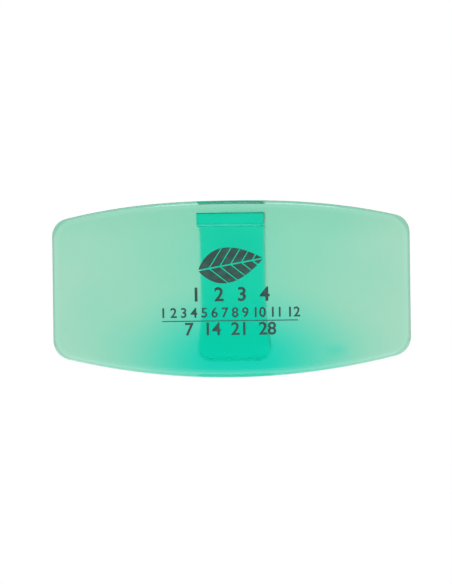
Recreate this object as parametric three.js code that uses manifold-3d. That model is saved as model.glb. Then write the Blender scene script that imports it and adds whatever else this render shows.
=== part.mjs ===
// Clip-on toilet bowl deodorizer: one moulding of scented, see-through EVA.
// A wide bowed panel hangs inside the bowl from a strap hook on its back.
// Millimetres, +Z up, +X to the right, the printed front faces -Y.
// The origin is the middle of the hook's flat underside, where it sits on the rim.
import * as THREE from 'three';
import { mergeVertices } from 'three/addons/utils/BufferGeometryUtils.js';
import Module from 'manifold-3d';

// Panel outline, seen from the front
const PANEL_WIDTH = 112;
const SIDE_HEIGHT = 41.8;
const TOP_RISE = 6.1;
const TOP_FULLNESS = 2.4;
const BOTTOM_RISE = 7.3;
const BOTTOM_FULLNESS = 2;
const TOP_CORNER_RADIUS = 5.6;
const BOTTOM_CORNER_RADIUS = 6.2;

// Panel section
const PANEL_THICKNESS = 4;
const BOW_RADIUS = 420;
const EDGE_BAND = 1.5;
const EDGE_FLAT = 0.8;

// Strap hook
const STRAP_WIDTH = 21;
const STRAP_THICKNESS = 3.4;
const STRAP_EDGE_RADIUS = 0.8;
const STRAP_TOP_MARGIN = 3.7;
const STRAP_END_MARGIN = 4.6;
const RIM_GAP = 11;
const BEND_INNER_RADIUS = 2.6;
const BEND_OUTER_RADIUS = 0.5;
const LEG_LEAN = 8;
const ROOT_FILLET = 1.5;
const WAIST_WIDTH = 20.2;
const WAIST_PLACE = 22;
const TIP_WIDTH = 23.5;
const TIP_FLARE_LENGTH = 16;
const TIP_CORNER_RADIUS = 4.5;
const TIP_FLICK_RADIUS = 14;
const TIP_FLICK_ANGLE = 24;

// Mesh fineness
const ARCH_STEPS = 44;
const CORNER_STEPS = 7;
const EDGE_STEPS = 5;
const STRAP_CORNER_STEPS = 3;
const BEND_STEPS = 18;
const LEG_STEPS = 22;
const TIP_STEPS = 10;
const FILLET_STEPS = 4;

// Places worked out from the sizes
const panelTop = STRAP_THICKNESS + STRAP_TOP_MARGIN;
const sideTop = panelTop - TOP_RISE;
const sideBottom = sideTop - SIDE_HEIGHT;
const panelBottom = sideBottom - BOTTOM_RISE;
const seatDepth = RIM_GAP - ROOT_FILLET - BEND_INNER_RADIUS;
const panelBack = -(ROOT_FILLET + seatDepth / 2);
const panelMiddle = panelBack - PANEL_THICKNESS / 2;

// Height of the top or bottom edge above the end of its side, at a place x
function archHeight(x, rise, fullness) {
  return rise * (1 - Math.abs((2 * x) / PANEL_WIDTH) ** fullness);
}

// Outward normal of an arch at x, leaning with its slope
function archNormal(x, rise, fullness) {
  const share = Math.abs((2 * x) / PANEL_WIDTH);
  const slope = (rise * fullness * share ** (fullness - 1) * 2 * Math.sign(x)) / PANEL_WIDTH;
  return new THREE.Vector2(slope, 1).normalize();
}

// Where an arch gives way to the corner round: the round touches both arch and side
function cornerStart(rise, fullness, radius) {
  let low = 0;
  let high = PANEL_WIDTH / 2;
  for (let i = 0; i < 50; i += 1) {
    const x = (low + high) / 2;
    const centreX = x - radius * archNormal(x, rise, fullness).x;
    if (centreX < PANEL_WIDTH / 2 - radius) low = x;
    else high = x;
  }
  return low;
}

// One long edge from left to right, with its two corner rounds: points and normals
function longEdge(rise, fullness, radius) {
  const start = cornerStart(rise, fullness, radius);
  const startNormal = archNormal(start, rise, fullness);
  const centre = new THREE.Vector2(
    PANEL_WIDTH / 2 - radius,
    archHeight(start, rise, fullness) - radius * startNormal.y,
  );
  const startAngle = startNormal.angle();
  const right = [];
  for (let i = 0; i <= CORNER_STEPS; i += 1) {
    const angle = startAngle * (i / CORNER_STEPS);
    const normal = new THREE.Vector2(Math.cos(angle), Math.sin(angle));
    right.push({ point: centre.clone().addScaledVector(normal, radius), normal });
  }
  const points = right.map(({ point, normal }) => ({
    point: new THREE.Vector2(-point.x, point.y),
    normal: new THREE.Vector2(-normal.x, normal.y),
  }));
  for (let i = 1; i < ARCH_STEPS; i += 1) {
    const x = start * ((2 * i) / ARCH_STEPS - 1);
    points.push({
      point: new THREE.Vector2(x, archHeight(x, rise, fullness)),
      normal: archNormal(x, rise, fullness),
    });
  }
  return points.concat(right.reverse());
}

// The panel's outline, clockwise from the top left corner as seen from the front
function panelOutline() {
  const top = longEdge(TOP_RISE, TOP_FULLNESS, TOP_CORNER_RADIUS);
  const bottom = longEdge(BOTTOM_RISE, BOTTOM_FULLNESS, BOTTOM_CORNER_RADIUS).reverse();
  for (const { point } of top) point.y += sideTop;
  for (const { point, normal } of bottom) {
    point.y = sideBottom - point.y;
    normal.y = -normal.y;
  }
  return top.concat(bottom);
}

// How far the bowed panel lies back from its middle at a place x
function bow(x) {
  return BOW_RADIUS - Math.sqrt(BOW_RADIUS ** 2 - x ** 2);
}

// Edge profile from the front face round to the back face: share of the band, place in depth
function edgeProfile() {
  const half = PANEL_THICKNESS / 2;
  const round = half - EDGE_FLAT / 2;
  const front = [];
  for (let i = 0; i <= EDGE_STEPS; i += 1) {
    const angle = (Math.PI / 2) * (i / EDGE_STEPS);
    front.push({ share: 1 - Math.sin(angle), depth: -EDGE_FLAT / 2 - round * Math.cos(angle) });
  }
  const back = front.map(({ share, depth }) => ({ share, depth: -depth })).reverse();
  return front.concat(back);
}

// Closed mesh from rings of equal length, with a flat or strip cap at each end
function loft(rings, capTriangles) {
  const count = rings[0].length;
  const positions = [];
  const index = [];
  for (const ring of rings) {
    for (const point of ring) positions.push(point.x, point.y, point.z);
  }
  for (let r = 0; r + 1 < rings.length; r += 1) {
    for (let i = 0; i < count; i += 1) {
      const a = r * count + i;
      const b = r * count + ((i + 1) % count);
      index.push(a, b, b + count, a, b + count, a + count);
    }
  }
  const last = (rings.length - 1) * count;
  for (const [a, b, c] of capTriangles) {
    index.push(a, c, b);
    index.push(last + a, last + b, last + c);
  }
  const geometry = new THREE.BufferGeometry();
  geometry.setAttribute('position', new THREE.Float32BufferAttribute(positions, 3));
  geometry.setIndex(index);
  return geometry;
}

// Triangles of a cap that joins the first half of a ring to its second half, strip by strip
function stripCap(count) {
  const triangles = [];
  const half = count / 2;
  for (let i = 0; i + 1 < half; i += 1) {
    const a = i;
    const b = i + 1;
    const c = count - 2 - i;
    const d = count - 1 - i;
    triangles.push([a, b, c], [a, c, d]);
  }
  return triangles;
}

// Panel: the outline swept round its edge profile and bowed back at both ends
function panelGeometry() {
  const outline = panelOutline();
  const rings = edgeProfile().map(({ share, depth }) => outline.map(({ point, normal }) => {
    const x = point.x - normal.x * EDGE_BAND * share;
    const z = point.y - normal.y * EDGE_BAND * share;
    return new THREE.Vector3(x, panelMiddle + depth + bow(x), z);
  }));
  return loft(rings, stripCap(outline.length));
}

// Distance steps that crowd together towards the end of a stretch
function crowdedSteps(length, count) {
  const steps = [];
  for (let i = 1; i <= count; i += 1) steps.push(length * Math.sin((Math.PI / 2) * (i / count)));
  return steps;
}

// How far the bend's squarer outside stands out from a plain round one, at an angle into the bend
function bendExtra(angle, bend) {
  const reach = BEND_INNER_RADIUS + STRAP_THICKNESS;
  const centre = (reach - BEND_OUTER_RADIUS) / Math.cos(bend / 2);
  const touch = Math.atan2(centre * Math.sin(bend / 2), reach);
  if (angle < touch) return reach / Math.cos(angle) - reach;
  if (angle > bend - touch) return reach / Math.cos(bend - angle) - reach;
  const along = centre * Math.cos(angle - bend / 2);
  const aside = centre * Math.sin(angle - bend / 2);
  return along + Math.sqrt(BEND_OUTER_RADIUS ** 2 - aside ** 2) - reach;
}

// Strap centre line in the Y-Z plane, as stations from the root to the tip.
// Each holds its place, its heading turned down from +Y, its distance along, and how much
// the section stands out beyond the strap's thickness under and over the line.
function strapStations() {
  const half = STRAP_THICKNESS / 2;
  const stations = [{ y: panelMiddle, z: half, heading: 0, under: ROOT_FILLET, over: 0, along: 0 }];
  const step = (length, turn, under, over) => {
    const from = stations[stations.length - 1];
    const middle = from.heading + turn / 2;
    const chord = turn === 0 ? length : (length * Math.sin(turn / 2)) / (turn / 2);
    stations.push({
      y: from.y + chord * Math.cos(middle),
      z: from.z - chord * Math.sin(middle),
      heading: from.heading + turn,
      under,
      over,
      along: from.along + length,
    });
  };

  // Root: out of the panel's back, through a fillet to the seat's flat
  step(PANEL_THICKNESS / 2, 0, ROOT_FILLET, 0);
  for (let i = 1; i <= FILLET_STEPS; i += 1) {
    const angle = (Math.PI / 2) * (i / FILLET_STEPS);
    const before = (Math.PI / 2) * ((i - 1) / FILLET_STEPS);
    const run = ROOT_FILLET * (Math.cos(before) - Math.cos(angle));
    step(run, 0, ROOT_FILLET * (1 - Math.sin(angle)), 0);
  }
  step(seatDepth, 0, 0, 0);

  // Bend over the rim
  const legHeading = Math.PI / 2 - THREE.MathUtils.degToRad(LEG_LEAN);
  const bendRadius = BEND_INNER_RADIUS + half;
  const bendTurn = legHeading / BEND_STEPS;
  for (let i = 1; i <= BEND_STEPS; i += 1) {
    step(bendRadius * bendTurn, bendTurn, 0, bendExtra(bendTurn * i, legHeading));
  }

  // Leg, as long as it takes for the tip to end its margin above the panel's bottom
  const flick = THREE.MathUtils.degToRad(TIP_FLICK_ANGLE);
  const tipHeading = legHeading - flick;
  const tipDrop = TIP_FLICK_RADIUS * (Math.cos(tipHeading) - Math.cos(legHeading));
  const tipEnd = panelBottom + STRAP_END_MARGIN + half * Math.cos(tipHeading);
  const legDrop = stations[stations.length - 1].z - tipEnd - tipDrop;
  const legStep = legDrop / Math.sin(legHeading) / LEG_STEPS;
  for (let i = 0; i < LEG_STEPS; i += 1) step(legStep, 0, 0, 0);

  // Tip, flicked away from the panel
  const tipLength = TIP_FLICK_RADIUS * flick;
  let done = 0;
  for (const along of crowdedSteps(tipLength, TIP_STEPS)) {
    step(along - done, -(along - done) / TIP_FLICK_RADIUS, 0, 0);
    done = along;
  }
  return stations;
}

// Strap width at a distance from its root: waist, widening tail and rounded tail corners
function strapWidth(along, total) {
  const fromTip = total - along;
  const narrowing = THREE.MathUtils.smoothstep(along, 0, WAIST_PLACE);
  const body = STRAP_WIDTH + (WAIST_WIDTH - STRAP_WIDTH) * narrowing;
  const flaring = 1 - THREE.MathUtils.smoothstep(fromTip, 0, TIP_FLARE_LENGTH);
  const width = body + (TIP_WIDTH - body) * flaring;
  if (fromTip >= TIP_CORNER_RADIUS) return width;
  const cut = TIP_CORNER_RADIUS - Math.sqrt(TIP_CORNER_RADIUS ** 2 - (TIP_CORNER_RADIUS - fromTip) ** 2);
  return width - 2 * cut;
}

// Rounded rectangle: top from left to right, then bottom from right to left
function strapSection(width, thickness) {
  const radius = STRAP_EDGE_RADIUS;
  const points = [];
  for (let corner = 0; corner < 4; corner += 1) {
    const side = corner === 1 || corner === 2 ? 1 : -1;
    const level = corner < 2 ? 1 : -1;
    for (let i = 0; i <= STRAP_CORNER_STEPS; i += 1) {
      const angle = Math.PI - (Math.PI / 2) * (corner + i / STRAP_CORNER_STEPS);
      points.push(new THREE.Vector2(
        side * (width / 2 - radius) + radius * Math.cos(angle),
        level * (thickness / 2 - radius) + radius * Math.sin(angle),
      ));
    }
  }
  return points;
}

// Strap: its section swept along the stations
function strapGeometry() {
  const stations = strapStations();
  const total = stations[stations.length - 1].along;
  const rings = stations.map(({ y, z, heading, under, over, along }) => {
    const section = strapSection(strapWidth(along, total), STRAP_THICKNESS + under + over);
    const shift = (over - under) / 2;
    return section.map((point) => new THREE.Vector3(
      point.x,
      y + (point.y + shift) * Math.sin(heading),
      z + (point.y + shift) * Math.cos(heading),
    ));
  });
  return loft(rings, stripCap(rings[0].length));
}

const wasm = await Module();
wasm.setup();

// Closed mesh to solid
function solid(geometry) {
  const merged = mergeVertices(geometry);
  return new wasm.Manifold(new wasm.Mesh({
    numProp: 3,
    vertProperties: new Float32Array(merged.attributes.position.array),
    triVerts: new Uint32Array(merged.index.array),
  }));
}

// Solid to a mesh with its own name and material
function namedMesh(name, body, material) {
  const { vertProperties, triVerts } = body.getMesh();
  const geometry = new THREE.BufferGeometry();
  geometry.setAttribute('position', new THREE.BufferAttribute(vertProperties, 3));
  geometry.setIndex(new THREE.BufferAttribute(triVerts, 1));
  geometry.computeVertexNormals();
  const mesh = new THREE.Mesh(geometry, material);
  mesh.name = name;
  return mesh;
}

const eva = new THREE.MeshStandardMaterial({
  color: 0x8fd9b9,
  roughness: 0.35,
  metalness: 0,
});

const clip = new THREE.Group();
clip.name = 'toilet_bowl_clip';
clip.add(namedMesh('bowl_clip', solid(panelGeometry()).add(solid(strapGeometry())), eva));

export default clip;
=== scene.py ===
# Clip-on toilet bowl deodorizer: a moulding of see-through mint EVA with a dark print.
# Laid out as an add-on. Metres, +Z up, +X to the right, the printed front faces -Y.
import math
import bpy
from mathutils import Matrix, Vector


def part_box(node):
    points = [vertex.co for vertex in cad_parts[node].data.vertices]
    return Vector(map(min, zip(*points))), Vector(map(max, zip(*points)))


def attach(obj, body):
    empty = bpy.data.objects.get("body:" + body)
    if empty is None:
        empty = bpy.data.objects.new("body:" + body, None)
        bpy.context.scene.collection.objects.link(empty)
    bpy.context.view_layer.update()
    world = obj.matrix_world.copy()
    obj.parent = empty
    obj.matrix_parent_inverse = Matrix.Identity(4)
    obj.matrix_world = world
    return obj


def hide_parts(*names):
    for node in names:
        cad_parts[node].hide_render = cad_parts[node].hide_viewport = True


bl_info = {
    "name": "Bowl Clip",
    "version": (1, 0, 0),
    "blender": (4, 5, 0),
    "location": "3D View > Sidebar > Bowl Clip",
    "description": "Models a clip-on bowl deodorizer and its studio",
    "category": "Object",
}

import bpy
from bpy.props import FloatProperty, FloatVectorProperty, IntProperty, PointerProperty
from mathutils import Vector

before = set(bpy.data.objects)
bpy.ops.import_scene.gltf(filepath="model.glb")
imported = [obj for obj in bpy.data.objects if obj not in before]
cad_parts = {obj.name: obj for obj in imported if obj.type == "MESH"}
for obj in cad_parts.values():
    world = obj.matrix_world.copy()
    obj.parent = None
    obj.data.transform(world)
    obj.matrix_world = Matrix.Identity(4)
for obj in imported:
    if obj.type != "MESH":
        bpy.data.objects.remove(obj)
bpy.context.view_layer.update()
NODE = "bowl_clip"
NODE_LOW, NODE_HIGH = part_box(NODE)
PHOTO_WIDTH_PX = 452
PHOTO_HEIGHT_PX = 584
TINY = 1e-6
HALVINGS = 50

# Fineness of the meshes
RIM_SEGMENTS = 8
STRIP_CUTS = 16
FILLET_STEPS = 8
BEND_STEPS = 36
LEG_STEPS = 48
TIP_STEPS = 26
STRAP_EDGE_SEGMENTS = 4
LEAF_STEPS = 96
RULE_CUTS = 24
SHARP_ANGLE = math.radians(50)
SMOOTH_ANGLE = math.radians(40)

# Tints of the panel's skin, as (x, z) places and reaches, heights, ranges and shares
CLOUD_SCALE = 45.0
CLOUD_DETAIL = 3.0
CLOUD_SHARE = 0.12
UPPER_RANGE = (-0.007, 0.003)
UPPER_SHARE = 0.4
# Painted teal shadow that the tail casts, seen through the panel's lower middle
TAIL_SHADOW_CENTRE = (0.002, -0.043)
TAIL_SHADOW_REACH = (0.049, 0.027)
TAIL_SHADOW_CORE = 0.16
# A faint darker teal spot to the right of the tail
DARK_SPOT_CENTRE = (0.0325, -0.0400)
DARK_SPOT_REACH = (0.0055, 0.0030)
DARK_SPOT_CORE = 0.0
DARK_SPOT_SHARE = 0.35

# Painted highlight line and painted shade line round the panel's outline, as distances inward and
# shares
RIM_HIGHLIGHT_LINE = 0.0014
RIM_HIGHLIGHT_BAND = 0.0014
RIM_HIGHLIGHT_SHARE = 0.15
EDGE_SHADE_RANGE = (0.0010, 0.0004)
EDGE_SHADE_SHARE = 0.55

# Where the strap's own tint begins behind the panel's back, and where it ends at the sides
STRAP_TINT_BEHIND = (0.0003, 0.0005)
STRAP_TINT_ASIDE = (0.0135, 0.0125)

# Grain, frost and mottling of the skin, and how light bends in it
GRAIN_SCALE = 1400.0
GRAIN_DETAIL = 2.0
GRAIN_DEPTH = 0.000012
PATCH_SCALE = 60.0
PATCH_RANGE = (0.3, 0.7)
PATCH_ROUGHNESS = 0.05
MOTTLE_RANGE = (0.35, 0.75)
EVA_IOR = 1.48

# Print
THIN_INK_SCALE = 500.0
THIN_INK_DETAIL = 2.0
THIN_INK_SHARE = 0.06
PRINT_DEPTH = 0.00004
PRINT_SINK = 0.00002
CAPITAL_SHARE = 0.63
LEAF_ROUND = 0.5
LEAF_POINT = 0.35
LEAF_LEAN = 0.30

# Studio
FLOOR_SIZE = 0.9
FLOOR_LEVEL = -0.15
FLOOR_COLOUR = (0.97, 0.97, 0.97, 1)
FLOOR_ROUGHNESS = 0.9
ROOM_SIDE_RANGE = (0.05, 0.55)
ROOM_CORE_RANGE = (0.94, 0.99)
WHITE = (1.0, 1.0, 1.0)
KEY_PLACE = (0.0, -0.6, 0.8)
KEY_SIZE = 0.5
SENSOR_WIDTH = 36.0


def length(name, description, default):
    """A length in metres, shown in the scene's units."""
    return FloatProperty(
        name=name, description=description, default=default, unit="LENGTH", precision=5
    )


def rotation(name, description, degrees):
    """An angle, given in degrees."""
    return FloatProperty(
        name=name, description=description, default=math.radians(degrees), unit="ROTATION"
    )


def number(name, description, default):
    """A plain number."""
    return FloatProperty(name=name, description=description, default=default)


def pixel(name, default):
    """A place in the picture, in its pixels."""
    return number(name, "Pixels of the 452 by 584 picture", default)


def colour(name, description, default):
    """A linear colour."""
    return FloatVectorProperty(
        name=name, description=description, default=default, subtype="COLOR", min=0.0, max=1.0
    )


class ClipPanelSizes(bpy.types.PropertyGroup):
    """Sizes of the panel."""

    width: length("Width", "Panel from side to side", NODE_HIGH[0] - NODE_LOW[0])
    side_height: length("Side height", "Height between the ends of the two arches", 0.0418)
    top_rise: length("Top rise", "How far the top edge arches up", 0.0061)
    top_fullness: number("Top fullness", "Higher is flatter in the middle", 2.4)
    bottom_rise: length("Bottom rise", "How far the bottom edge arches down", 0.0073)
    bottom_fullness: number("Bottom fullness", "Higher is flatter in the middle", 2.0)
    top_corner: length("Top corner", "Radius of the two upper corners", 0.0056)
    bottom_corner: length("Bottom corner", "Radius of the two lower corners", 0.0062)
    thickness: length("Thickness", "Panel from front to back", 0.004)
    edge_band: length("Edge band", "Rounded band round the outline", 0.0015)
    edge_flat: length("Edge flat", "Flat left round the outline", 0.0008)
    bow_radius: length("Bow radius", "Radius of the panel's bow about a vertical axis", 0.42)
    arch_steps: IntProperty(name="Arch steps", description="Edges along each arch", default=72)
    corner_steps: IntProperty(name="Corner steps", description="Edges round a corner", default=14)


class ClipStrapSizes(bpy.types.PropertyGroup):
    """Sizes of the strap hook."""

    width: length("Width", "Strap at its root", 0.021)
    waist: length("Waist", "Strap at its narrowest", 0.0202)
    thickness: length("Thickness", "Strap from face to face", 0.0034)
    edge_round: length("Edge round", "Radius on the strap's long edges", 0.0008)
    root_fillet: length("Root fillet", "Fillet where the strap leaves the panel", 0.0015)
    seat_depth: length("Seat depth", "Flat underside that sits on the rim", 0.0069)
    bend_inner: length("Bend radius", "Inside radius of the bend over the rim", 0.0026)
    bend_outer: length("Outer bend radius", "Outside radius of the bend", 0.0005)
    lean: rotation("Lean", "Leg away from the panel", 8)
    waist_place: length("Waist place", "Distance from the root to the waist", 0.022)
    tip_width: length("Tip width", "Tail at its widest", 0.0235)
    tip_flare: length("Tip flare", "Length over which the tail widens", 0.016)
    tip_corner: length("Tip corner", "Radius of the tail's corners", 0.0045)
    flick_radius: length("Flick radius", "Radius of the flicked tip", 0.014)
    flick: rotation("Flick", "Turn of the flicked tip", 24)
    end_margin: length("End margin", "Tail's end above the panel's bottom", 0.0046)


class ClipFinish(bpy.types.PropertyGroup):
    """Colours and finish of the moulding and its print."""

    panel: colour("Panel", "Skin of the panel near its ends", (0.75, 0.80, 0.645))
    # Deeper skin beside the strap is painted teal light that the strap passes on to the panel
    middle_painted_strap_light: colour("Panel middle", "Skin beside the strap", (0.445, 0.775, 0.586))
    # Painted highlight of the panel's rounded rim
    painted_rim_highlight: colour("Pale rim", "Skin round the panel's outline", (0.95, 0.90, 0.86))
    # Painted shade on the panel's very edge
    painted_edge_shade: colour("Edge line", "Skin on the panel's very edge", (0.20, 0.42, 0.34))
    upper: colour("Upper part", "Skin of the panel near its top", (0.50, 0.73, 0.54))
    # Deep teal for the skin's clouds and thin ink, and for the painted teal shadow of the tail
    teal_and_painted_shadow: colour("Tail glow", "Skin of the panel in front of the tail", (0.02, 0.74, 0.57))
    strap: colour("Strap", "Skin of the strap hook", (0.03, 1.0, 0.95))
    depth_colour: colour("Depth colour", "What thick EVA lets through", (0.0, 0.90, 0.80))
    depth_density: number("Depth density", "Absorption per metre", 150)
    clearness: number("Clearness", "Share of light let through", 1.0)
    roughness: number("Roughness", "Frost of the skin", 0.13)
    gloss: number("Gloss", "Strength of the skin's shine", 0.25)
    ink: colour("Ink", "Printing ink", (0.020, 0.062, 0.050))
    ink_roughness: number("Ink roughness", "Frost of the ink", 0.55)


class ClipFigureRow(bpy.types.PropertyGroup):
    """One row of printed figures."""

    x_px: pixel("Across", 231.0)
    y_px: pixel("Down", 295.0)
    height: length("Height", "Height of a figure", 0.0032)
    length: length("Length", "Row from end to end", 0.0234)
    weight: length("Weight", "How far the strokes are thickened", 0.00008)


class ClipPrint(bpy.types.PropertyGroup):
    """Sizes and places of the print."""

    leaf_x_px: pixel("Leaf across", 230.5)
    leaf_y_px: pixel("Leaf down", 264.5)
    leaf_length: length("Leaf length", "Leaf from end to end", 0.0205)
    leaf_width: length("Leaf width", "Leaf at its widest", 0.0108)
    leaf_tilt: rotation("Leaf tilt", "Leaf turned up", 10)
    midrib: length("Midrib", "Gap along the leaf's middle", 0.00045)
    vein: length("Vein", "Gap of a side vein", 0.00032)
    vein_lean: rotation("Vein lean", "Side veins from upright", 48)
    veins: IntProperty(name="Veins", description="Veins on each side", default=5)
    upper: PointerProperty(type=ClipFigureRow)
    middle: PointerProperty(type=ClipFigureRow)
    lower: PointerProperty(type=ClipFigureRow)
    rule_x_px: pixel("Rule across", 230.0)
    rule_y_px: pixel("Rule down", 320.8)
    rule_length: length("Rule length", "Rule from end to end", 0.0424)
    rule_height: length("Rule height", "Thickness of the rule's line", 0.0003)


class ClipStudio(bpy.types.PropertyGroup):
    """Camera and light."""

    distance: length("Distance", "Camera to the panel's front", 1.2)
    width_px: number("Panel width", "Panel in picture pixels", 359.4)
    centre_x_px: number("Centre across", "Panel centre in pixels", 230.3)
    centre_y_px: number("Centre down", "Panel centre in pixels", 289.0)
    azimuth: rotation("Azimuth", "Camera to the right", 3)
    roll: rotation("Roll", "Panel turned in the picture", 0.75)
    key_power: number("Key light", "Power in watts", 4.0)
    sky: number("Sky", "Strength of the room's light", 1.0)
    side_tone: number("Side tone", "Grey at the sides of the room", 0.8)
    core_tone: number("Core tone", "Grey straight before and behind", 0.97)
    mirrored: number("Mirrored", "Room as the skin mirrors it", 0.0)


def fresh_start():
    """Leaves edit mode and deselects everything."""
    if bpy.context.object is not None and bpy.context.object.mode != "OBJECT":
        bpy.ops.object.mode_set(mode="OBJECT")
    bpy.ops.object.select_all(action="DESELECT")


def settle(piece, name):
    """Names a new piece and puts its place into its mesh."""
    piece.name = name
    piece.data.name = name
    fresh_start()
    piece.select_set(True)
    bpy.context.view_layer.objects.active = piece
    bpy.ops.object.transform_apply(location=True, rotation=True, scale=True)


def apply_modifiers(piece):
    """Applies all of a piece's modifiers in order."""
    bpy.context.view_layer.objects.active = piece
    for modifier in list(piece.modifiers):
        bpy.ops.object.modifier_apply(modifier=modifier.name)


def arch_point(x, width, rise, fullness):
    """Height of an arched edge above its ends, and the edge's outward normal, at a place x."""
    share = abs(2 * x / width)
    slope = math.copysign(rise * fullness * share ** (fullness - 1) * 2 / width, x)
    return rise * (1 - share**fullness), Vector((slope, 1)).normalized()


def half_edge(width, rise, fullness, radius, arch_steps, corner_steps):
    """Right half of an arched edge, from the middle to the end of its corner round."""
    low, high = 0.0, width / 2
    for _ in range(HALVINGS):
        start = (low + high) / 2
        normal = arch_point(start, width, rise, fullness)[1]
        if start - radius * normal.x < width / 2 - radius:
            low = start
        else:
            high = start
    height, normal = arch_point(start, width, rise, fullness)
    centre = Vector((width / 2 - radius, height - radius * normal.y))
    points = []
    for i in range(arch_steps // 2):
        x = start * 2 * i / arch_steps
        points.append(Vector((x, arch_point(x, width, rise, fullness)[0])))
    first = math.atan2(normal.y, normal.x)
    for i in range(corner_steps + 1):
        angle = first * (1 - i / corner_steps)
        points.append(centre + radius * Vector((math.cos(angle), math.sin(angle))))
    return points


def panel_outline(sizes):
    """The panel's outline as (x, z) points, clockwise from the middle of its top edge."""
    top = half_edge(
        sizes.width, sizes.top_rise, sizes.top_fullness, sizes.top_corner,
        sizes.arch_steps, sizes.corner_steps,
    )
    bottom = half_edge(
        sizes.width, sizes.bottom_rise, sizes.bottom_fullness, sizes.bottom_corner,
        sizes.arch_steps, sizes.corner_steps,
    )
    side_top = NODE_HIGH[2] - sizes.top_rise
    side_bottom = side_top - sizes.side_height
    upper = [Vector((p.x, side_top + p.y)) for p in top]
    lower = [Vector((p.x, side_bottom - p.y)) for p in reversed(bottom)]
    right = upper + lower
    left = [Vector((-p.x, p.y)) for p in reversed(right[1:-1])]
    return right + left


def bow_back(piece, radius):
    """Bows a flat piece back at both ends, about a vertical axis behind it."""
    for vertex in piece.data.vertices:
        vertex.co.y += radius - math.sqrt(radius**2 - vertex.co.x**2)


def select_edges(piece, wanted):
    """Selects the edges that a test of their two ends picks, in edit mode."""
    bpy.ops.object.mode_set(mode="EDIT")
    bpy.ops.mesh.select_mode(type="EDGE")
    bpy.ops.mesh.select_all(action="DESELECT")
    bpy.ops.object.mode_set(mode="OBJECT")
    points = piece.data.vertices
    for edge in piece.data.edges:
        edge.select = wanted(*(points[i].co for i in edge.vertices))
    bpy.ops.object.mode_set(mode="EDIT")


def fill_with_strips(piece, depth):
    """Closes the flat opening at a depth with upright strips between its two arches."""

    def on_arch(a, b):
        level = abs(a.y - depth) < TINY and abs(b.y - depth) < TINY
        return level and abs(a.x - b.x) > TINY

    select_edges(piece, on_arch)
    bpy.ops.mesh.bridge_edge_loops(number_cuts=STRIP_CUTS, interpolation="LINEAR")


def round_rims(sizes, outline):
    """Insets both faces of the panel's blank step by step, so that its rims are round."""
    bpy.ops.mesh.select_mode(type="FACE")
    bpy.ops.mesh.select_face_by_sides(number=len(outline), type="EQUAL")
    rise = (sizes.thickness - sizes.edge_flat) / 2
    share, level = 0.0, 0.0
    for i in range(1, RIM_SEGMENTS + 1):
        angle = math.pi / 2 * (1 - i / RIM_SEGMENTS)
        inward = 1 - math.sin(angle) - share
        bpy.ops.mesh.inset(thickness=inward * sizes.edge_band, depth=rise * math.cos(angle) - level)
        share, level = share + inward, rise * math.cos(angle)


def model_panel(sizes):
    """Panel: an outline extruded, its rims rounded by insets, faced with strips and bowed."""
    outline = panel_outline(sizes)
    front = NODE_LOW[1]
    back = front + sizes.thickness
    flat_start = (front + back - sizes.edge_flat) / 2
    fresh_start()
    bpy.ops.mesh.primitive_circle_add(vertices=len(outline), fill_type="NGON", location=(0, 0, 0))
    panel = bpy.context.object
    for vertex, point in zip(panel.data.vertices, outline):
        vertex.co = (point.x, flat_start, point.y)
    bpy.ops.object.mode_set(mode="EDIT")
    bpy.ops.mesh.select_all(action="SELECT")
    bpy.ops.mesh.extrude_region_move(TRANSFORM_OT_translate={"value": (0, sizes.edge_flat, 0)})
    bpy.ops.mesh.select_all(action="SELECT")
    bpy.ops.mesh.normals_make_consistent(inside=False)
    bpy.ops.mesh.select_all(action="DESELECT")
    round_rims(sizes, outline)
    for depth in (front, back):
        select_edges(panel, lambda a, b, y=depth: abs(a.y - y) < TINY and abs(b.y - y) < TINY)
        bpy.ops.mesh.delete(type="ONLY_FACE")
        fill_with_strips(panel, depth)
    bpy.ops.mesh.select_all(action="SELECT")
    bpy.ops.mesh.normals_make_consistent(inside=False)
    bpy.ops.object.mode_set(mode="OBJECT")
    bow_back(panel, sizes.bow_radius)
    settle(panel, "panel")
    return panel


def strap_width(sizes, along, total):
    """Strap width at a distance from its root: waist, flared tail and rounded tail corners."""
    from_tip = total - along
    narrowing = smooth(along / sizes.waist_place)
    body = sizes.width + (sizes.waist - sizes.width) * narrowing
    width = body + (sizes.tip_width - body) * (1 - smooth(from_tip / sizes.tip_flare))
    if from_tip < sizes.tip_corner:
        inside = sizes.tip_corner - from_tip
        width -= 2 * (sizes.tip_corner - math.sqrt(sizes.tip_corner**2 - inside**2))
    return width


def smooth(share):
    """Eases from 0 to 1."""
    share = min(max(share, 0.0), 1.0)
    return share * share * (3 - 2 * share)


def bend_extra(sizes, angle, bend):
    """How far the bend's squarer outside stands out from a plain round one."""
    reach = sizes.bend_inner + sizes.thickness
    centre = (reach - sizes.bend_outer) / math.cos(bend / 2)
    touch = math.atan2(centre * math.sin(bend / 2), reach)
    if angle < touch:
        return reach / math.cos(angle) - reach
    if angle > bend - touch:
        return reach / math.cos(bend - angle) - reach
    aside = centre * math.sin(angle - bend / 2)
    return centre * math.cos(angle - bend / 2) + math.sqrt(sizes.bend_outer**2 - aside**2) - reach


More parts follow.
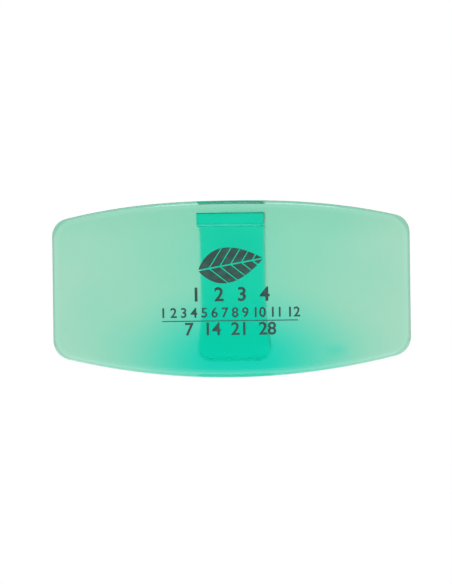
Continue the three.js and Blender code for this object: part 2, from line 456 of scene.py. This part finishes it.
def strap_steps(sizes, panel_thickness):
    """Strap from root to tip as (length, downward turn, extra under, extra over) steps."""
    quarter = math.pi / 2
    steps = [(panel_thickness / 2, 0.0, sizes.root_fillet, 0.0)]
    for i in range(1, FILLET_STEPS + 1):
        before, angle = quarter * (i - 1) / FILLET_STEPS, quarter * i / FILLET_STEPS
        away = sizes.root_fillet * (math.cos(before) - math.cos(angle))
        steps.append((away, 0.0, sizes.root_fillet * (1 - math.sin(angle)), 0.0))
    steps.append((sizes.seat_depth, 0.0, 0.0, 0.0))
    heading = quarter - sizes.lean
    bend_radius = sizes.bend_inner + sizes.thickness / 2
    turn = heading / BEND_STEPS
    for i in range(1, BEND_STEPS + 1):
        steps.append((bend_radius * turn, turn, 0.0, bend_extra(sizes, turn * i, heading)))
    tip_heading = heading - sizes.flick
    half = sizes.thickness / 2
    bend_drop = bend_radius * (1 - math.cos(heading))
    tip_drop = sizes.flick_radius * (math.cos(tip_heading) - math.cos(heading))
    tip_end = NODE_LOW[2] + sizes.end_margin + half * math.cos(tip_heading)
    leg = (half - bend_drop - tip_drop - tip_end) / math.sin(heading)
    steps += [(leg / LEG_STEPS, 0.0, 0.0, 0.0)] * LEG_STEPS
    tip_length = sizes.flick_radius * sizes.flick
    done = 0.0
    for i in range(1, TIP_STEPS + 1):
        along = tip_length * math.sin(quarter * i / TIP_STEPS)
        steps.append((along - done, -(along - done) / sizes.flick_radius, 0.0, 0.0))
        done = along
    return steps


def resize_section(centre, size, shift):
    """Resizes the selected upright section about its middle and shifts it up."""
    bpy.ops.transform.resize(value=size, center_override=centre)
    if shift:
        bpy.ops.transform.translate(value=(0, 0, shift))


def model_strap(sizes, panel_thickness):
    """Strap: a small upright sheet extruded along the hook's path, its long edges rounded."""
    steps = strap_steps(sizes, panel_thickness)
    total = sum(step[0] for step in steps)
    width = strap_width(sizes, 0.0, total)
    height, shift = sizes.thickness + sizes.root_fillet, -sizes.root_fillet / 2
    y, z = NODE_LOW[1] + panel_thickness / 2, sizes.thickness / 2
    fresh_start()
    bpy.ops.mesh.primitive_plane_add(
        size=1, location=(0, y, z + shift), rotation=(math.pi / 2, 0, 0)
    )
    strap = bpy.context.object
    strap.scale = (width, height, 1)
    settle(strap, "strap")
    bpy.ops.object.mode_set(mode="EDIT")
    bpy.ops.mesh.select_all(action="SELECT")
    heading, along = 0.0, 0.0
    for step, turn, under, over in steps:
        middle = heading + turn / 2
        chord = step if turn == 0 else step * math.sin(turn / 2) / (turn / 2)
        move = (0, chord * math.cos(middle), -chord * math.sin(middle))
        bpy.ops.mesh.extrude_region_move(TRANSFORM_OT_translate={"value": move})
        y, z = y + move[1], z + move[2]
        along += step
        if heading:
            bpy.ops.transform.rotate(value=-heading, orient_axis="X", center_override=(0, y, z))
        new_width = strap_width(sizes, along, total)
        new_height, new_shift = sizes.thickness + under + over, (over - under) / 2
        size = (new_width / width, 1, new_height / height)
        resize_section((0, y, z + shift), size, new_shift - shift)
        width, height, shift, heading = new_width, new_height, new_shift, heading + turn
        if heading:
            bpy.ops.transform.rotate(value=heading, orient_axis="X", center_override=(0, y, z))
    bpy.ops.mesh.select_all(action="SELECT")
    bpy.ops.mesh.normals_make_consistent(inside=False)
    bpy.ops.object.mode_set(mode="OBJECT")
    rounding = strap.modifiers.new("Round edges", "BEVEL")
    rounding.width = sizes.edge_round
    rounding.segments = STRAP_EDGE_SEGMENTS
    rounding.limit_method = "ANGLE"
    rounding.angle_limit = SHARP_ANGLE
    apply_modifiers(strap)
    return strap


def ramp(nodes, links, value, low, high):
    """A mask that eases from 0 to 1 as a value goes from low to high."""
    node = nodes.new("ShaderNodeMapRange")
    node.interpolation_type = "SMOOTHSTEP"
    node.inputs["From Min"].default_value = low
    node.inputs["From Max"].default_value = high
    links.new(value, node.inputs["Value"])
    return node.outputs["Result"]


def blend_colours(nodes, links, mask, first, second):
    """Colour that goes from the first to the second as the mask rises."""
    node = nodes.new("ShaderNodeMix")
    node.data_type = "RGBA"
    links.new(mask, node.inputs["Factor"])
    for name, value in (("A", first), ("B", second)):
        socket = next(i for i in node.inputs if i.name == name and i.type == "RGBA")
        if isinstance(value, bpy.types.NodeSocket):
            links.new(value, socket)
        else:
            socket.default_value = (*value, 1)
    return next(o for o in node.outputs if o.type == "RGBA")


def soft_spot(nodes, links, place, centre, reach, core):
    """A mask that fades from 1 inside an oval's core to 0 at its rim, seen from the front."""
    centred = nodes.new("ShaderNodeMapping")
    centred.inputs["Location"].default_value = (-centre[0] / reach[0], 0, -centre[1] / reach[1])
    centred.inputs["Scale"].default_value = (1 / reach[0], 0, 1 / reach[1])
    links.new(place, centred.inputs["Vector"])
    away = nodes.new("ShaderNodeVectorMath")
    away.operation = "LENGTH"
    links.new(centred.outputs["Vector"], away.inputs[0])
    return ramp(nodes, links, away.outputs["Value"], 1.0, core)


def combine(nodes, links, operation, first, second):
    """One maths node on two sockets or numbers."""
    node = nodes.new("ShaderNodeMath")
    node.operation = operation
    for slot, value in enumerate((first, second)):
        if isinstance(value, bpy.types.NodeSocket):
            links.new(value, node.inputs[slot])
        else:
            node.inputs[slot].default_value = value
    return node.outputs["Value"]


def inward_from_outline(nodes, links, axes, aside, panel):
    """How far inward of the panel's outline a place is, in metres, up to the corner radius."""
    across = combine(nodes, links, "DIVIDE", aside, panel.width / 2)
    to_arches = []
    for rise, fullness, level, way in (
        (panel.top_rise, panel.top_fullness, NODE_HIGH[2], 1),
        (panel.bottom_rise, panel.bottom_fullness, NODE_LOW[2], -1),
    ):
        bulge = combine(nodes, links, "POWER", across, fullness)
        drop = combine(nodes, links, "MULTIPLY", bulge, rise)
        height = combine(nodes, links, "SUBTRACT", axes.outputs["Z"], level)
        below = combine(nodes, links, "MULTIPLY", height, -way)
        to_arches.append(combine(nodes, links, "SUBTRACT", below, drop))
    to_arch = combine(nodes, links, "MINIMUM", to_arches[0], to_arches[1])
    to_side = combine(nodes, links, "SUBTRACT", panel.width / 2, aside)
    radius = (panel.top_corner + panel.bottom_corner) / 2
    squares = []
    for distance in (to_arch, to_side):
        short = combine(nodes, links, "SUBTRACT", radius, distance)
        in_corner = combine(nodes, links, "MAXIMUM", short, 0.0)
        squares.append(combine(nodes, links, "MULTIPLY", in_corner, in_corner))
    both = combine(nodes, links, "ADD", squares[0], squares[1])
    return combine(nodes, links, "SUBTRACT", radius, combine(nodes, links, "POWER", both, 0.5))


def new_group(name, sockets):
    """New node group with its sockets, each a name, a way and a type."""
    group = bpy.data.node_groups.new(name, "ShaderNodeTree")
    for socket, way, kind in sockets:
        group.interface.new_socket(socket, in_out=way, socket_type="NodeSocket" + kind)
    return group, group.nodes.new("NodeGroupInput"), group.nodes.new("NodeGroupOutput")


def mottle():
    """Node group of soft uneven patches: a mask that reaches a given share."""
    name = "Mottle"
    if name in bpy.data.node_groups:
        return bpy.data.node_groups[name]
    sockets = [("Place", "INPUT", "Vector")]
    sockets += [(socket, "INPUT", "Float") for socket in ("Scale", "Detail", "Share")]
    group, given, made = new_group(name, sockets + [("Mask", "OUTPUT", "Float")])
    nodes, links = group.nodes, group.links
    noise = nodes.new("ShaderNodeTexNoise")
    links.new(given.outputs["Place"], noise.inputs["Vector"])
    links.new(given.outputs["Scale"], noise.inputs["Scale"])
    links.new(given.outputs["Detail"], noise.inputs["Detail"])
    patches = ramp(nodes, links, noise.outputs["Fac"], *MOTTLE_RANGE)
    mask = combine(nodes, links, "MULTIPLY", patches, given.outputs["Share"])
    links.new(mask, made.inputs["Mask"])
    return group


def add_mottle(nodes, links, place, scale, detail, share):
    """The mask of a mottle group with its sizes."""
    patches = nodes.new("ShaderNodeGroup")
    patches.node_tree = mottle()
    links.new(place, patches.inputs["Place"])
    patches.inputs["Scale"].default_value = scale
    patches.inputs["Detail"].default_value = detail
    patches.inputs["Share"].default_value = share
    return patches.outputs["Mask"]


def skin_grain():
    """Node group of the moulded skin: a fine grain's normal and a slow change of its frost."""
    name = "Skin grain"
    if name in bpy.data.node_groups:
        return bpy.data.node_groups[name]
    sockets = [("Place", "INPUT", "Vector"), ("Roughness", "INPUT", "Float")]
    sockets += [("Roughness", "OUTPUT", "Float"), ("Normal", "OUTPUT", "Vector")]
    group, given, made = new_group(name, sockets)
    nodes, links = group.nodes, group.links
    grain = nodes.new("ShaderNodeTexNoise")
    grain.inputs["Scale"].default_value = GRAIN_SCALE
    grain.inputs["Detail"].default_value = GRAIN_DETAIL
    links.new(given.outputs["Place"], grain.inputs["Vector"])
    bump = nodes.new("ShaderNodeBump")
    bump.inputs["Strength"].default_value = 1.0
    bump.inputs["Distance"].default_value = GRAIN_DEPTH
    links.new(grain.outputs["Fac"], bump.inputs["Height"])
    links.new(bump.outputs["Normal"], made.inputs["Normal"])
    patches = nodes.new("ShaderNodeTexNoise")
    patches.inputs["Scale"].default_value = PATCH_SCALE
    links.new(given.outputs["Place"], patches.inputs["Vector"])
    patchy = ramp(nodes, links, patches.outputs["Fac"], *PATCH_RANGE)
    extra = combine(nodes, links, "MULTIPLY", patchy, PATCH_ROUGHNESS)
    frost = combine(nodes, links, "ADD", extra, given.outputs["Roughness"])
    links.new(frost, made.inputs["Roughness"])
    return group


def add_skin_grain(nodes, links, place, roughness, shader):
    """Gives a shader the skin grain over a plain roughness."""
    grain = nodes.new("ShaderNodeGroup")
    grain.node_tree = skin_grain()
    links.new(place, grain.inputs["Place"])
    grain.inputs["Roughness"].default_value = roughness
    links.new(grain.outputs["Roughness"], shader.inputs["Roughness"])
    links.new(grain.outputs["Normal"], shader.inputs["Normal"])


def panel_tints(nodes, links, place, axes, aside, finish, panel):
    """Panel skin: deeper teal towards its middle as painted light passed on by the strap, paler
    towards its ends, a little cloudy and deeper near its top.
    """
    # The blend from middle to ends paints the strap's teal light on the panel's middle
    outward = combine(nodes, links, "DIVIDE", aside, panel.width / 2)
    skin = blend_colours(nodes, links, outward, finish.middle_painted_strap_light, finish.panel)
    clouds = add_mottle(nodes, links, place, CLOUD_SCALE, CLOUD_DETAIL, CLOUD_SHARE)
    skin = blend_colours(nodes, links, clouds, skin, finish.teal_and_painted_shadow)
    high = ramp(nodes, links, axes.outputs["Z"], *UPPER_RANGE)
    shaded = combine(nodes, links, "MULTIPLY", high, UPPER_SHARE)
    return blend_colours(nodes, links, shaded, skin, finish.upper)


def painted_tail_shadow_and_spot(nodes, links, place, skin, finish):
    """Skin with a painted teal shadow of the tail, wide in front of it, and a faint darker teal
    spot beside it.
    """
    # Painted shadow of the tail: the skin goes deep teal in a wide oval before it
    painted_tail_shadow = soft_spot(nodes, links, place, TAIL_SHADOW_CENTRE, TAIL_SHADOW_REACH, TAIL_SHADOW_CORE)
    skin = blend_colours(nodes, links, painted_tail_shadow, skin, finish.teal_and_painted_shadow)
    dark_spot = soft_spot(nodes, links, place, DARK_SPOT_CENTRE, DARK_SPOT_REACH, DARK_SPOT_CORE)
    faint = combine(nodes, links, "MULTIPLY", dark_spot, DARK_SPOT_SHARE)
    return blend_colours(nodes, links, faint, skin, finish.teal_and_painted_shadow)


def outline_highlight_and_shade(nodes, links, axes, aside, skin, finish, panel):
    """Skin with a painted highlight line inside the panel's outline and a painted shade line on its
    very edge.
    """
    inward = inward_from_outline(nodes, links, axes, aside, panel)
    # Painted highlight a little inside the outline
    centred = combine(nodes, links, "SUBTRACT", inward, RIM_HIGHLIGHT_LINE)
    off_line = combine(nodes, links, "ABSOLUTE", centred, 0.0)
    rim_highlight = ramp(nodes, links, off_line, RIM_HIGHLIGHT_BAND, 0.0)
    highlight_share = combine(nodes, links, "MULTIPLY", rim_highlight, RIM_HIGHLIGHT_SHARE)
    skin = blend_colours(nodes, links, highlight_share, skin, finish.painted_rim_highlight)
    # Painted shade on the very edge of the outline
    edge = ramp(nodes, links, inward, *EDGE_SHADE_RANGE)
    edge_shade_share = combine(nodes, links, "MULTIPLY", edge, EDGE_SHADE_SHARE)
    return blend_colours(nodes, links, edge_shade_share, skin, finish.painted_edge_shade)


def strap_tint(nodes, links, axes, aside, skin, finish, panel):
    """Skin that turns deep teal on the strap hook, behind the panel's back."""
    back = NODE_LOW[1] + panel.thickness
    start, full = STRAP_TINT_BEHIND
    behind = ramp(nodes, links, axes.outputs["Y"], back + start, back + full)
    near_middle = ramp(nodes, links, aside, *STRAP_TINT_ASIDE)
    on_strap = combine(nodes, links, "MULTIPLY", behind, near_middle)
    return blend_colours(nodes, links, on_strap, skin, finish.strap)


def eva_material(finish, panel):
    """See-through EVA: mint skin with painted light, highlight and shade, deeper on the strap, and
    a depth that turns teal.
    """
    material = bpy.data.materials.new("Mint EVA")
    material.use_nodes = True
    nodes, links = material.node_tree.nodes, material.node_tree.links
    shader = nodes["Principled BSDF"]
    place = nodes.new("ShaderNodeTexCoord").outputs["Object"]
    axes = nodes.new("ShaderNodeSeparateXYZ")
    links.new(place, axes.inputs["Vector"])
    aside = combine(nodes, links, "ABSOLUTE", axes.outputs["X"], 0.0)
    skin = panel_tints(nodes, links, place, axes, aside, finish, panel)
    skin = painted_tail_shadow_and_spot(nodes, links, place, skin, finish)
    skin = outline_highlight_and_shade(nodes, links, axes, aside, skin, finish, panel)
    skin = strap_tint(nodes, links, axes, aside, skin, finish, panel)
    links.new(skin, shader.inputs["Base Color"])
    add_skin_grain(nodes, links, place, finish.roughness, shader)
    shader.inputs["Transmission Weight"].default_value = finish.clearness
    shader.inputs["IOR"].default_value = EVA_IOR
    shader.inputs["Specular IOR Level"].default_value = finish.gloss
    depth = nodes.new("ShaderNodeVolumeAbsorption")
    depth.inputs["Color"].default_value = (*finish.depth_colour, 1)
    depth.inputs["Density"].default_value = finish.depth_density
    links.new(depth.outputs["Volume"], nodes["Material Output"].inputs["Volume"])
    return material


def ink_material(finish):
    """Dark pad print, a little thin in places."""
    material = bpy.data.materials.new("Print ink")
    material.use_nodes = True
    nodes, links = material.node_tree.nodes, material.node_tree.links
    shader = nodes["Principled BSDF"]
    place = nodes.new("ShaderNodeTexCoord").outputs["Object"]
    thin = add_mottle(nodes, links, place, THIN_INK_SCALE, THIN_INK_DETAIL, THIN_INK_SHARE)
    tone = blend_colours(nodes, links, thin, finish.ink, finish.teal_and_painted_shadow)
    links.new(tone, shader.inputs["Base Color"])
    add_skin_grain(nodes, links, place, finish.ink_roughness, shader)
    return material


class CLIP_OT_moulding(bpy.types.Operator):
    """Models the EVA moulding: the panel and the strap hook as one body"""

    bl_idname = "bowl_clip.moulding"
    bl_label = "EVA moulding"

    def execute(self, context):
        scene = context.scene
        panel = model_panel(scene.clip_panel)
        strap = model_strap(scene.clip_strap, scene.clip_panel.thickness)
        joining = panel.modifiers.new("Join strap", "BOOLEAN")
        joining.operation = "UNION"
        joining.solver = "EXACT"
        joining.object = strap
        apply_modifiers(panel)
        bpy.data.objects.remove(strap)
        settle(panel, "moulding")
        bpy.ops.object.shade_smooth_by_angle(angle=SMOOTH_ANGLE)
        panel.data.materials.clear()
        panel.data.materials.append(eva_material(scene.clip_finish, scene.clip_panel))
        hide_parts(NODE)
        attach(panel, "root")
        return {"FINISHED"}


def print_place(setup, panel, x_px, y_px):
    """Place on the panel, as (x, z), of a point of the picture."""
    scale = panel.width / setup.width_px
    across = (x_px - setup.centre_x_px) * scale
    up = (setup.centre_y_px - y_px) * scale
    turn = -setup.roll
    middle = (NODE_LOW[2] + NODE_HIGH[2]) / 2
    x = across * math.cos(turn) - up * math.sin(turn)
    return x, middle + across * math.sin(turn) + up * math.cos(turn)


def finish_print(context, piece, name):
    """Gives a flat print its film thickness, lays it on the bowed front and inks it."""
    scene = context.scene
    film = piece.modifiers.new("Film", "SOLIDIFY")
    film.thickness = PRINT_DEPTH + PRINT_SINK
    film.offset = 0
    apply_modifiers(piece)
    bow_back(piece, scene.clip_panel.bow_radius)
    settle(piece, name)
    piece.data.materials.clear()
    piece.data.materials.append(ink_material(scene.clip_finish))
    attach(piece, "root")


def print_level():
    """Depth of the middle of the ink film at the panel's middle."""
    return NODE_LOW[1] - (PRINT_DEPTH - PRINT_SINK) / 2


def model_leaf(context):
    """Leaf mark: a round sheet drawn out to a leaf, with its midrib and veins cut out."""
    scene = context.scene
    mark = scene.clip_print
    x, z = print_place(scene.clip_studio, scene.clip_panel, mark.leaf_x_px, mark.leaf_y_px)
    fresh_start()
    bpy.ops.mesh.primitive_circle_add(
        vertices=LEAF_STEPS, fill_type="NGON", rotation=(math.pi / 2, 0, 0)
    )
    leaf = bpy.context.object
    settle(leaf, "leaf")
    for vertex in leaf.data.vertices:
        across = vertex.co.x
        belly = (1 - across**2) ** LEAF_ROUND * (1 - LEAF_LEAN * across)
        side = math.copysign(1, vertex.co.z) if abs(vertex.co.z) > TINY else 0
        vertex.co.x = across * mark.leaf_length / 2
        vertex.co.z = side * belly * (1 - across**2) ** LEAF_POINT * mark.leaf_width / 2
    cuts = [((0, 0, 0), (0, 0, 1), mark.midrib)]
    for i in range(mark.veins):
        along = mark.leaf_length * ((i + 1) / (mark.veins + 1) - 0.5)
        for side in (1, -1):
            normal = (math.sin(mark.vein_lean), 0, -side * math.cos(mark.vein_lean))
            cuts.append(((along, 0, 0), normal, mark.vein))
    select_all_faces(leaf)
    for index, (point, normal, gap) in enumerate(cuts):
        cut_gap(leaf, Vector(point), Vector(normal), gap, index)
    bpy.ops.object.mode_set(mode="OBJECT")
    leaf.rotation_euler = (0, -mark.leaf_tilt, 0)
    leaf.location = (x, print_level(), z)
    settle(leaf, "leaf")
    finish_print(context, leaf, "print_leaf")


def select_all_faces(piece):
    """Selects all of a piece, in edit mode."""
    bpy.context.view_layer.objects.active = piece
    bpy.ops.object.mode_set(mode="EDIT")
    bpy.ops.mesh.select_all(action="SELECT")


def cut_gap(piece, point, normal, gap, index):
    """Cuts a straight gap out of a flat piece; a vein is cut on its own side of the midrib only."""
    side = 0 if index == 0 else (1 if index % 2 else -1)
    normal = normal.normalized()
    for shift in (-gap / 2, gap / 2):
        bpy.ops.object.mode_set(mode="OBJECT")
        for face in piece.data.polygons:
            face.select = side == 0 or face.center.z * side > 0
        bpy.ops.object.mode_set(mode="EDIT")
        bpy.ops.mesh.select_mode(type="FACE")
        bpy.ops.mesh.bisect(plane_co=point + normal * shift, plane_no=normal)
    bpy.ops.object.mode_set(mode="OBJECT")
    for face in piece.data.polygons:
        inside = abs((face.center - point).dot(normal)) < gap / 2
        face.select = inside and (side == 0 or face.center.z * side > 0)
    bpy.ops.object.mode_set(mode="EDIT")
    bpy.ops.mesh.delete(type="FACE")
    bpy.ops.mesh.select_all(action="SELECT")


def spread_row(context, figures, wanted):
    """Opens the spaces between the numbers until the row is as long as wanted."""
    lengths = []
    for spacing in (1.0, 2.0):
        figures.data.space_word = spacing
        context.view_layer.update()
        lengths.append(figures.dimensions.x)
    figures.data.space_word = 1.0 + (wanted - lengths[0]) / (lengths[1] - lengths[0])


def model_figures(context, name, text, row):
    """A row of plain figures, drawn as text and made a mesh."""
    scene = context.scene
    x, z = print_place(scene.clip_studio, scene.clip_panel, row.x_px, row.y_px)
    fresh_start()
    bpy.ops.object.text_add(rotation=(math.pi / 2, 0, 0))
    figures = bpy.context.object
    figures.data.body = text
    figures.data.size = row.height / CAPITAL_SHARE
    figures.data.offset = row.weight
    figures.data.align_x = "CENTER"
    figures.data.align_y = "CENTER"
    spread_row(context, figures, row.length)
    bpy.ops.object.convert(target="MESH")
    figures = bpy.context.object
    settle(figures, name)
    figures.location = (x, print_level(), z)
    finish_print(context, figures, name)


def model_rule(context):
    """Thin rule under the middle row of figures."""
    scene = context.scene
    mark = scene.clip_print
    x, z = print_place(scene.clip_studio, scene.clip_panel, mark.rule_x_px, mark.rule_y_px)
    fresh_start()
    bpy.ops.mesh.primitive_plane_add(size=1, rotation=(math.pi / 2, 0, 0))
    rule = bpy.context.object
    rule.scale = (mark.rule_length, mark.rule_height, 1)
    settle(rule, "rule")
    select_all_faces(rule)
    bpy.ops.mesh.subdivide(number_cuts=RULE_CUTS)
    bpy.ops.object.mode_set(mode="OBJECT")
    rule.location = (x, print_level(), z)
    finish_print(context, rule, "print_rule")


class CLIP_OT_leaf(bpy.types.Operator):
    """Prints the leaf mark on the panel's front"""

    bl_idname = "bowl_clip.leaf"
    bl_label = "Leaf mark"

    def execute(self, context):
        model_leaf(context)
        return {"FINISHED"}


class CLIP_OT_figures(bpy.types.Operator):
    """Prints the rows of week, month and day figures and the rule on the panel's front"""

    bl_idname = "bowl_clip.figures"
    bl_label = "Figures and rule"

    def execute(self, context):
        mark = context.scene.clip_print
        model_figures(context, "print_weeks", "1 2 3 4", mark.upper)
        model_figures(context, "print_months", "1 2 3 4 5 6 7 8 9 10 11 12", mark.middle)
        model_figures(context, "print_days", "7 14 21 28", mark.lower)
        model_rule(context)
        return {"FINISHED"}


class CLIP_OT_studio(bpy.types.Operator):
    """Adds the floor, the light and the camera"""

    bl_idname = "bowl_clip.studio"
    bl_label = "Studio"

    def execute(self, context):
        scene = context.scene
        setup = scene.clip_studio
        make_floor()
        make_sky(scene, setup)
        make_lamp("Key light", KEY_PLACE, KEY_SIZE, setup.key_power)
        make_camera(scene, setup, scene.clip_panel.width)
        scene.view_settings.view_transform = "Standard"
        return {"FINISHED"}


def make_floor():
    """White floor below the hanging clip."""
    fresh_start()
    bpy.ops.mesh.primitive_plane_add(size=FLOOR_SIZE, location=(0, 0, FLOOR_LEVEL))
    floor = bpy.context.object
    material = bpy.data.materials.new("Floor white")
    material.use_nodes = True
    shader = material.node_tree.nodes["Principled BSDF"]
    shader.inputs["Base Color"].default_value = FLOOR_COLOUR
    shader.inputs["Roughness"].default_value = FLOOR_ROUGHNESS
    floor.data.materials.append(material)
    settle(floor, "floor")


def white_background(nodes, strength):
    """Plain white background of a given strength."""
    background = nodes.new("ShaderNodeBackground")
    background.inputs["Color"].default_value = (*WHITE, 1)
    background.inputs["Strength"].default_value = strength
    return background


def make_sky(scene, setup):
    """Room light: bright before and behind the clip, dimmer at its sides, white to the camera
    and dim where the skin mirrors it."""
    world = bpy.data.worlds.new("Studio")
    world.use_nodes = True
    scene.world = world
    nodes, links = world.node_tree.nodes, world.node_tree.links
    direction = nodes.new("ShaderNodeTexCoord").outputs["Generated"]
    axes = nodes.new("ShaderNodeSeparateXYZ")
    links.new(direction, axes.inputs["Vector"])
    facing = combine(nodes, links, "ABSOLUTE", axes.outputs["Y"], 0.0)
    bright = ramp(nodes, links, facing, *ROOM_SIDE_RANGE)
    tone = blend_colours(nodes, links, bright, [setup.side_tone] * 3, WHITE)
    core = ramp(nodes, links, facing, *ROOM_CORE_RANGE)
    tone = blend_colours(nodes, links, core, tone, [setup.core_tone] * 3)
    lit = nodes["Background"]
    links.new(tone, lit.inputs["Color"])
    lit.inputs["Strength"].default_value = setup.sky
    dim = white_background(nodes, setup.mirrored)
    white = white_background(nodes, 1.0)
    path = nodes.new("ShaderNodeLightPath")
    reflected = nodes.new("ShaderNodeMath")
    reflected.operation = "SUBTRACT"
    reflected.use_clamp = True
    links.new(path.outputs["Is Glossy Ray"], reflected.inputs[0])
    links.new(path.outputs["Is Transmission Ray"], reflected.inputs[1])
    for_gloss = nodes.new("ShaderNodeMixShader")
    links.new(reflected.outputs["Value"], for_gloss.inputs["Fac"])
    links.new(lit.outputs["Background"], for_gloss.inputs[1])
    links.new(dim.outputs["Background"], for_gloss.inputs[2])
    for_camera = nodes.new("ShaderNodeMixShader")
    links.new(path.outputs["Is Camera Ray"], for_camera.inputs["Fac"])
    links.new(for_gloss.outputs["Shader"], for_camera.inputs[1])
    links.new(white.outputs["Background"], for_camera.inputs[2])
    links.new(for_camera.outputs["Shader"], nodes["World Output"].inputs["Surface"])


def make_lamp(name, place, size, power):
    """A square soft light aimed at the clip."""
    fresh_start()
    bpy.ops.object.light_add(type="AREA", location=place)
    lamp = bpy.context.object
    lamp.name = name
    lamp.data.size = size
    lamp.data.energy = power
    aim = Vector((0, 0, (NODE_LOW[2] + NODE_HIGH[2]) / 2)) - Vector(place)
    lamp.rotation_euler = aim.to_track_quat("-Z", "Y").to_euler()


def make_camera(scene, setup, panel_width):
    """Level camera, a little to the panel's right, that has the clip where the photo has it."""
    metres_per_px = panel_width / setup.width_px
    picture_height = PHOTO_HEIGHT_PX * metres_per_px
    fresh_start()
    bpy.ops.object.camera_add()
    camera = bpy.context.object
    camera.name = "Camera"
    camera.data.sensor_fit = "AUTO"
    camera.data.sensor_width = SENSOR_WIDTH
    camera.data.lens = SENSOR_WIDTH * setup.distance / picture_height
    centre_z = (NODE_LOW[2] + NODE_HIGH[2]) / 2
    across = (PHOTO_WIDTH_PX / 2 - setup.centre_x_px) * metres_per_px
    down = (PHOTO_HEIGHT_PX / 2 - setup.centre_y_px) * metres_per_px
    towards = Vector((-math.sin(setup.azimuth), math.cos(setup.azimuth), 0))
    aside = Vector((towards.y, -towards.x, 0)) * across
    middle = Vector((0, NODE_LOW[1], centre_z - down))
    camera.location = middle + aside - towards * setup.distance
    camera.rotation_euler = (math.pi / 2, setup.roll, setup.azimuth)
    scene.camera = camera


class CLIP_PT_sidebar(bpy.types.Panel):
    """Lists the clip's pieces in the sidebar"""

    bl_label = "Bowl Clip"
    bl_space_type = "VIEW_3D"
    bl_region_type = "UI"
    bl_category = "Bowl Clip"

    def draw(self, context):
        for operator in OPERATORS:
            self.layout.operator(operator.bl_idname)


OPERATORS = (CLIP_OT_moulding, CLIP_OT_leaf, CLIP_OT_figures, CLIP_OT_studio)
GROUPS = {
    "clip_panel": ClipPanelSizes,
    "clip_strap": ClipStrapSizes,
    "clip_finish": ClipFinish,
    "clip_print": ClipPrint,
    "clip_studio": ClipStudio,
}


def register():
    bpy.utils.register_class(ClipFigureRow)
    for group in GROUPS.values():
        bpy.utils.register_class(group)
    for name, group in GROUPS.items():
        setattr(bpy.types.Scene, name, PointerProperty(type=group))
    for operator in OPERATORS:
        bpy.utils.register_class(operator)
    bpy.utils.register_class(CLIP_PT_sidebar)


def unregister():
    bpy.utils.unregister_class(CLIP_PT_sidebar)
    for operator in reversed(OPERATORS):
        bpy.utils.unregister_class(operator)
    for name, group in GROUPS.items():
        delattr(bpy.types.Scene, name)
        bpy.utils.unregister_class(group)
    bpy.utils.unregister_class(ClipFigureRow)


def place_rows(mark):
    """Sets the places and sizes in which the three rows of figures differ."""
    weeks = {"x_px": 230.5, "y_px": 295.0, "length": 0.0234, "height": 0.0038, "weight": 0.00014}
    months = {"x_px": 230.0, "y_px": 313.0, "length": 0.0430, "height": 0.0027, "weight": 0.00008}
    days = {"x_px": 230.5, "y_px": 329.5, "length": 0.0284, "height": 0.0035, "weight": 0.00010}
    for row, values in ((mark.upper, weeks), (mark.middle, months), (mark.lower, days)):
        for name, value in values.items():
            setattr(row, name, value)


def main():
    register()
    place_rows(bpy.context.scene.clip_print)
    bpy.ops.bowl_clip.moulding()
    bpy.ops.bowl_clip.leaf()
    bpy.ops.bowl_clip.figures()
    bpy.ops.bowl_clip.studio()


if __name__ == "__main__":
    main()
